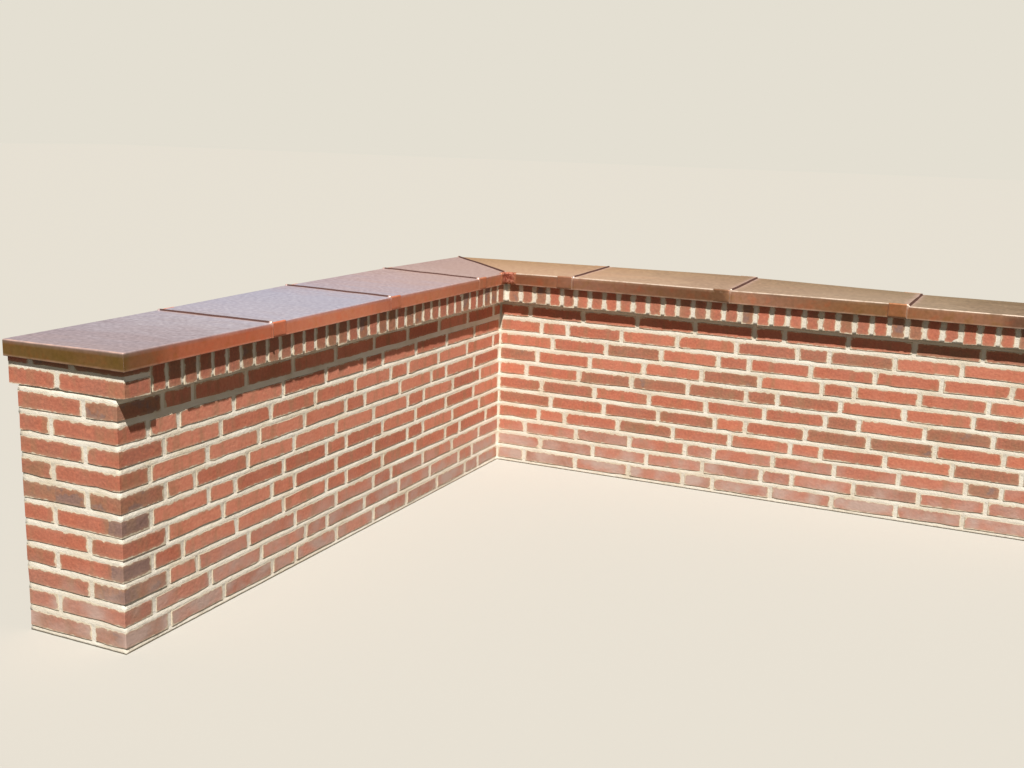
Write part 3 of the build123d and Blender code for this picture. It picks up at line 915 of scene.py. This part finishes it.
def soldered_plates(name, leg, spans, material, seed, thick, lump, tongue, light=0.0):
    """Thin plates soldered over the edge of the coping, in one mesh. A profile climbs the edge,
    follows the bend and lies on the top for the length of its tongue; it is carried along the leg.
    Its outer face stands out by the thickness, falling to nothing round the border, plus a smooth
    field of lumps; its back lies in the sheet. A span is a tray, two lengths and a side, -1 for the
    inner edge and 1 for the garden edge; a first length of None follows the mitre."""
    near, drop = bend_drop(TURN_POINTS)
    edge = np.linspace(fall - 0.8 * MM, BEND + 1 * MM, EDGE_POINTS)
    on_top = BEND + np.linspace(0.3, 1, TURN_POINTS) * (tongue - BEND)
    climb = np.concatenate([edge, drop[::-1], np.zeros(TURN_POINTS)])
    away = np.concatenate([np.zeros(EDGE_POINTS), near[::-1], on_top])
    outwards = np.concatenate([np.ones(EDGE_POINTS), np.sin(np.linspace(math.pi / 2, 0, TURN_POINTS)),
                               np.zeros(TURN_POINTS)])
    path = np.concatenate([[0], np.cumsum(np.hypot(np.diff(climb), np.diff(away)))])
    border_across = np.minimum(path, path[-1] - path)
    high, wide = PLATE_ROWS, len(climb)
    share = np.repeat(np.linspace(0, 1, high)[:, None], wide, axis=1)
    quad = cells(high, wide)[0]
    row, column = np.arange(high - 1), np.arange(wide - 1)
    loop = np.concatenate([column, row * wide + wide - 1, high * wide - 1 - column,
                           (high - 1 - row) * wide])
    after = np.roll(loop, -1)
    rim = np.stack([after, loop, loop + high * wide, after + high * wide], axis=1)
    plate = np.concatenate([quad, quad[:, ::-1] + high * wide, rim])
    points, faces = [], []
    marks = {"run": [], "border": [], "wear_and_highlight": []}
    for turn, (number, first, last, way) in enumerate(spans):
        depth = (-edge_inner + away if way < 0 else edge_garden - away) * np.ones((high, 1))
        begin = -depth if first is None else first
        length = begin + share * (last - begin)
        ends = 1 - share if first is None else np.minimum(share, 1 - share)
        border = np.minimum(ends * np.abs(last - begin), border_across)
        base = (coping_head - climb) * np.ones((high, 1))
        swell = np.clip(border / THINNING, 0, 1) ** 0.5
        lumps = (0.5 + 0.5 * ripple(leg.place(length, depth, base), LUMP_SIZE, seed)) * lump
        shift = leg.rise(number, length, depth) * (1 - climb / fall)
        for amount in ((thick + lumps) * swell, INTO_SHEET):
            level = base + shift + amount * np.sqrt(1 - outwards ** 2)
            points.append(leg.place(length, depth + way * amount * outwards, level).reshape(-1, 3))
        marks["run"].append(length / leg.ends[-1])
        marks["border"].append(np.clip(border / SOLDER_FADE, 0, 1))
        marks["wear_and_highlight"].append(light * (border < ARRIS_WIDTH))
        faces.append(plate[:, ::-way] + turn * 2 * high * wide)
    piece = skin(name, np.concatenate(points), [np.concatenate(faces)], material, smooth=True)
    for mark, values in marks.items():
        note(piece, mark, np.concatenate([np.tile(value.reshape(-1), 2) for value in values]))
    return piece


FADE_GAIN = 1.4                  # so that the ramp across the top can lighten as well as darken


def sheet_copper(name, top_stops, back_stops, edge_stops, edge_gain, arris, grain):
    """Rolled copper sheet, folded by hand and weathered a season: an oxide skin clouded by handling and
    rain, dull rather than bright, browner on the edges, dark in the seams and rubbed bright on bends.
    The edges' brown is partly a painted reflection of the ground and the top's pale blue partly a
    painted reflection of the sky; the bright bends carry a painted highlight."""
    material, shader, add = bare_material(name)
    here = add("TexCoord", out="Object")
    marks = {mark: add("Attribute", attribute_name=mark, out="Fac")
             for mark in ("run", "back", "top", "seam", "wear_and_highlight", "glow")}

    # The skin changes along the leg, clouded over some 150 mm and streaked, with spots of some 14 mm;
    # the edges are blotched over some 45 mm
    drawn = add("Mapping", {"Vector": here, "Scale": grain})
    cloud = add("TexNoise", {"Vector": drawn, "Scale": 7.0, "Detail": 5.0, "Distortion": 0.5})
    spots = add("TexNoise", {"Vector": here, "Scale": 70.0, "Detail": 4.0})
    shift = add("Math", {0: cloud, 1: 0.3, 2: -0.15}, operation="MULTIPLY_ADD")
    level = add("Math", {0: marks["run"], 1: shift}, operation="ADD")
    top = add("ValToRGB", {"Fac": level}, stops=top_stops)
    fade = add("ValToRGB", {"Fac": marks["back"]}, stops=back_stops)
    fade = add("VectorMath", {0: fade, "Scale": FADE_GAIN}, operation="SCALE")
    top = add("VectorMath", {0: top, 1: fade}, operation="MULTIPLY")
    small = add("Math", {0: shift, 1: 0.15, 2: marks["run"]}, operation="MULTIPLY_ADD")
    side = add("ValToRGB", {"Fac": small}, stops=edge_stops)
    side = add("VectorMath", {0: side, "Scale": edge_gain}, operation="SCALE")
    blotch = add("TexNoise", {"Vector": here, "Scale": 22.0, "Detail": 4.0})
    blotch = add("ValToRGB", {"Fac": blotch}, stops=[
        (0.32, "#A4A86E"), (0.45, "#BCBCBC"), (0.55, "#BCBCBC"), (0.7, "#D8A48C")])
    side = add("Mix", {0: 0.38, 6: side, 7: blotch}, data_type="RGBA", blend_type="OVERLAY", out=2)
    base = add("Mix", {0: marks["top"], 6: side, 7: top}, data_type="RGBA", out=2)
    dust = add("ValToRGB", {"Fac": spots}, stops=[(0.3, "#ACACAC"), (0.5, "#BCBCBC"), (0.75, "#CCCCCC")])
    base = add("Mix", {0: 0.6, 6: base, 7: dust}, data_type="RGBA", blend_type="OVERLAY", out=2)

    # Heat of the soldering iron: pale pink bands beside the seams, uneven over some 42 mm
    worn = add("TexNoise", {"Vector": here, "Scale": 24.0, "Detail": 3.0})
    worn = add("MapRange", {0: worn, 1: 0.36, 2: 0.6, 3: 0.3, 4: 0.9})
    pink = add("Math", {0: marks["glow"], 1: marks["top"]}, operation="MULTIPLY")
    pink = add("Math", {0: pink, 1: worn}, operation="MULTIPLY")
    base = add("Mix", {0: pink, 6: base, 7: "#E4C0B2"}, data_type="RGBA", out=2)

    # Rubbed bends, rims and arrises with a painted highlight on them, patchy in places
    bright = add("Math", {0: marks["wear_and_highlight"], 1: worn}, operation="MULTIPLY")
    base = add("Mix", {0: bright, 6: base, 7: arris}, data_type="RGBA", out=2)

    # Seams: red-brown oxide in the fold
    dark = add("MapRange", {0: marks["seam"], 1: 0.1, 2: 0.7, 3: 0.0, 4: 0.96})
    base = add("Mix", {0: dark, 6: base, 7: "#3E190D"}, data_type="RGBA", out=2)

    # Duller in the spots and the seams, smoother where rubbed; the edges are less bare metal
    dull = add("MapRange", {0: spots, 1: 0.3, 2: 0.7, 3: 0.36, 4: 0.5})
    dull = add("Math", {0: marks["wear_and_highlight"], 1: -0.14, 2: dull}, operation="MULTIPLY_ADD")
    dull = add("Math", {0: dark, 1: 0.4, 2: dull}, operation="MULTIPLY_ADD")
    bare = add("MapRange", {0: marks["top"], 1: 0.0, 2: 1.0, 3: 0.25, 4: 0.5})
    oxide = add("Math", {0: dark, 1: -0.4, 2: bare}, operation="MULTIPLY_ADD")
    bump = add("Bump", {"Height": spots, "Strength": 0.2, "Distance": 0.8 * MM})
    plug(shader, {"Base Color": base, "Roughness": dull, "Metallic": oxide, "Normal": bump})
    return material


def soldered_copper():
    """Copper with soft solder wiped over it: salmon and orange-brown blotches of some 13 mm, lumpy and
    half matt, that fade to the colour of the sheet towards the border."""
    material, shader, add = bare_material("soldered_copper_patch")
    here = add("TexCoord", out="Object")
    blot = add("TexNoise", {"Vector": here, "Scale": 75.0, "Detail": 4.0, "Distortion": 0.8})
    base = add("ValToRGB", {"Fac": blot}, stops=[
        (0.36, "#7E3E2E"), (0.46, "#A65C44"), (0.55, "#B8705A"), (0.68, "#CE8E76")])
    border = add("Attribute", attribute_name="border", out="Fac")
    base = add("Mix", {0: border, 6: "#B0704F", 7: base}, data_type="RGBA", out=2)
    bump = add("Bump", {"Height": blot, "Strength": 0.8, "Distance": 2 * MM})
    plug(shader, {"Base Color": base, "Metallic": 0.25, "Roughness": 0.48, "Normal": bump})
    return material


# The ramps hold colours as seen: the pale blue of the tops and the brown of the edges are partly painted
# reflections of sky and ground
left_copper = sheet_copper(
    "weathered_copper_sheet_left", edge_gain=1.55, arris="#FFD2BE", grain=(0.7, 2.4, 1.0),
    top_stops=[(0.0, "#D2B2A8"), (0.13, "#D6B8B0"), (0.25, "#D4B9B8"), (0.38, "#CEBBC1"), (0.5, "#C9C4D3"),
               (0.68, "#CDC5D1"), (0.8, "#C9BDC4"), (0.92, "#BEADB2"), (1.0, "#C2AEB0")],
    back_stops=[(0.0, "#DBDBDB"), (0.6, "#DBDBDB"), (1.0, "#D6D6D8")],
    edge_stops=[(0.0, "#B07052"), (0.1, "#A0674B"), (0.2, "#A86A50"), (0.35, "#B37052"), (0.42, "#AA664E"),
                (0.5, "#BD7558"), (0.66, "#BF775B"), (0.72, "#AF6448"), (0.8, "#B06244"), (0.91, "#A65E42"),
                (0.95, "#805032"), (0.985, "#764F32"), (1.0, "#664C26")])
right_copper = sheet_copper(
    "weathered_copper_sheet_right", edge_gain=1.15, arris="#FFE6D0", grain=(0.9, 1.7, 1.0),
    top_stops=[(0.0, "#DAB08C"), (0.15, "#DAB08E"), (0.28, "#D0AC8C"), (0.36, "#C29F82"), (0.45, "#C09E81"),
               (0.6, "#BFA184"), (0.75, "#B59A7D"), (0.9, "#9C8064"), (1.0, "#987C61")],
    back_stops=[(0.0, "#E4E8EE"), (0.5, "#DBDBDB"), (1.0, "#C9C7BC")],
    edge_stops=[(0.0, "#B0745A"), (0.04, "#8C593E"), (0.1, "#926043"), (0.16, "#9B6E58"), (0.25, "#8A6048"),
                (0.36, "#7A553B"), (0.42, "#745239"), (0.435, "#B08064"), (0.5, "#9D7058"),
                (0.6, "#926645"), (0.672, "#8E6642"), (0.677, "#9C6642"), (0.7, "#9C6642"),
                (0.706, "#A06C4A"), (0.8, "#A27256"), (0.84, "#9D6F53"), (0.86, "#785440"),
                (1.0, "#785440")])
patch_copper = soldered_copper()

for leg, copper in ((left_leg, left_copper), (right_leg, right_copper)):
    for number in range(len(NODES)):
        tray_sheet(leg, number, copper, seed=50 + 7 * number)
    spans = [(number, seam_at - LAP, seam_at - FOLD_HALF, way)
             for number, seam_at in enumerate(leg.ends[:-1]) for way in (-1, 1)]
    laps = soldered_plates(f"{leg.name}_tray_laps", leg, spans, copper, seed=90, thick=0.7 * MM,
                           lump=0.5 * MM, tongue=7 * MM, light=0.35)
    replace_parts(laps, *(f"{leg.name}_{node}" for node in NODES[1:]))
    patch = soldered_plates(f"corner_patch_{leg.name}", leg, [(0, None, edge_inner + PATCH, -1)],
                            patch_copper, seed=95, thick=1.6 * MM, lump=2.6 * MM, tongue=13 * MM)
    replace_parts(patch, "corner_patch")


# Camera, at the photograph's angle
PHOTO_WIDTH = 1024
FOCAL_PIXELS = 1182.8
SENSOR_WIDTH = 36.0
CAMERA_PLACE = (1259.25 * MM, -3822.25 * MM, 1493.5 * MM)
YAW, PITCH, ROLL = (math.radians(a) for a in (-24.854, 11.923, -1.697))
ahead = Vector((math.sin(YAW) * math.cos(PITCH), math.cos(YAW) * math.cos(PITCH), -math.sin(PITCH)))
level_right = Vector((math.cos(YAW), -math.sin(YAW), 0))
level_down = ahead.cross(level_right)
right_axis = math.cos(ROLL) * level_right + math.sin(ROLL) * level_down
down_axis = -math.sin(ROLL) * level_right + math.cos(ROLL) * level_down
lens = bpy.data.cameras.new("camera")
lens.sensor_width = SENSOR_WIDTH
lens.lens = SENSOR_WIDTH * FOCAL_PIXELS / PHOTO_WIDTH
lens.clip_end = 500.0
camera = bpy.data.objects.new("camera", lens)
turned = Matrix((right_axis, -down_axis, -ahead)).transposed()
camera.matrix_world = Matrix.Translation(CAMERA_PLACE) @ turned.to_4x4()
bpy.context.scene.collection.objects.link(camera)
bpy.context.scene.camera = camera


def seen_and_lit(holder, kind, seen, lit, unused, output):
    """Two shaders of one kind in a material or a world: what the camera sees and what light meets."""
    holder.use_nodes = True
    nodes = holder.node_tree.nodes
    nodes.remove(nodes[unused])
    add = partial(knot, holder.node_tree)
    ray = add("LightPath", out="Is Camera Ray")
    plug(nodes[output], {"Surface": add("MixShader", {0: ray, 1: add(kind, lit), 2: add(kind, seen)})})


# Floor: plain and pale to the camera, darker to the light, so that it throws little back on the wall
FLOOR_REACH = 60.0
floor_mesh = bpy.data.meshes.new("floor")
floor_corners = [(x * FLOOR_REACH, y * FLOOR_REACH, 0) for x, y in ((-1, -1), (1, -1), (1, 1), (-1, 1))]
floor_mesh.from_pydata(floor_corners, [], [(0, 1, 2, 3)])
floor = bpy.data.objects.new("floor", floor_mesh)
bpy.context.scene.collection.objects.link(floor)
floor_paint = bpy.data.materials.new("pale_floor")
seen_and_lit(floor_paint, "BsdfDiffuse", {"Color": "#B0ADA6"}, {"Color": "#5E5A52"}, "Principled BSDF",
             "Material Output")
floor_mesh.materials.append(floor_paint)

# Light: one key from the photograph's sunny side and an even sky
key_data = bpy.data.lights.new("key", "SUN")
key_data.energy = 6.2
key_data.angle = math.radians(1.2)
key_data.color = (1.0, 0.97, 0.92)
key = bpy.data.objects.new("key", key_data)
TOWARDS_SUN = Vector((0.285, -0.465, 1.0))
key.rotation_euler = TOWARDS_SUN.to_track_quat("Z", "Y").to_euler()
bpy.context.scene.collection.objects.link(key)
world = bpy.data.worlds.new("sky")
bpy.context.scene.world = world
seen_and_lit(world, "Background", {"Color": "#E4DFD2", "Strength": 1.0},
             {"Color": "#E6ECF2", "Strength": 0.13}, "Background", "World Output")

bpy.context.scene.view_settings.view_transform = "Standard"
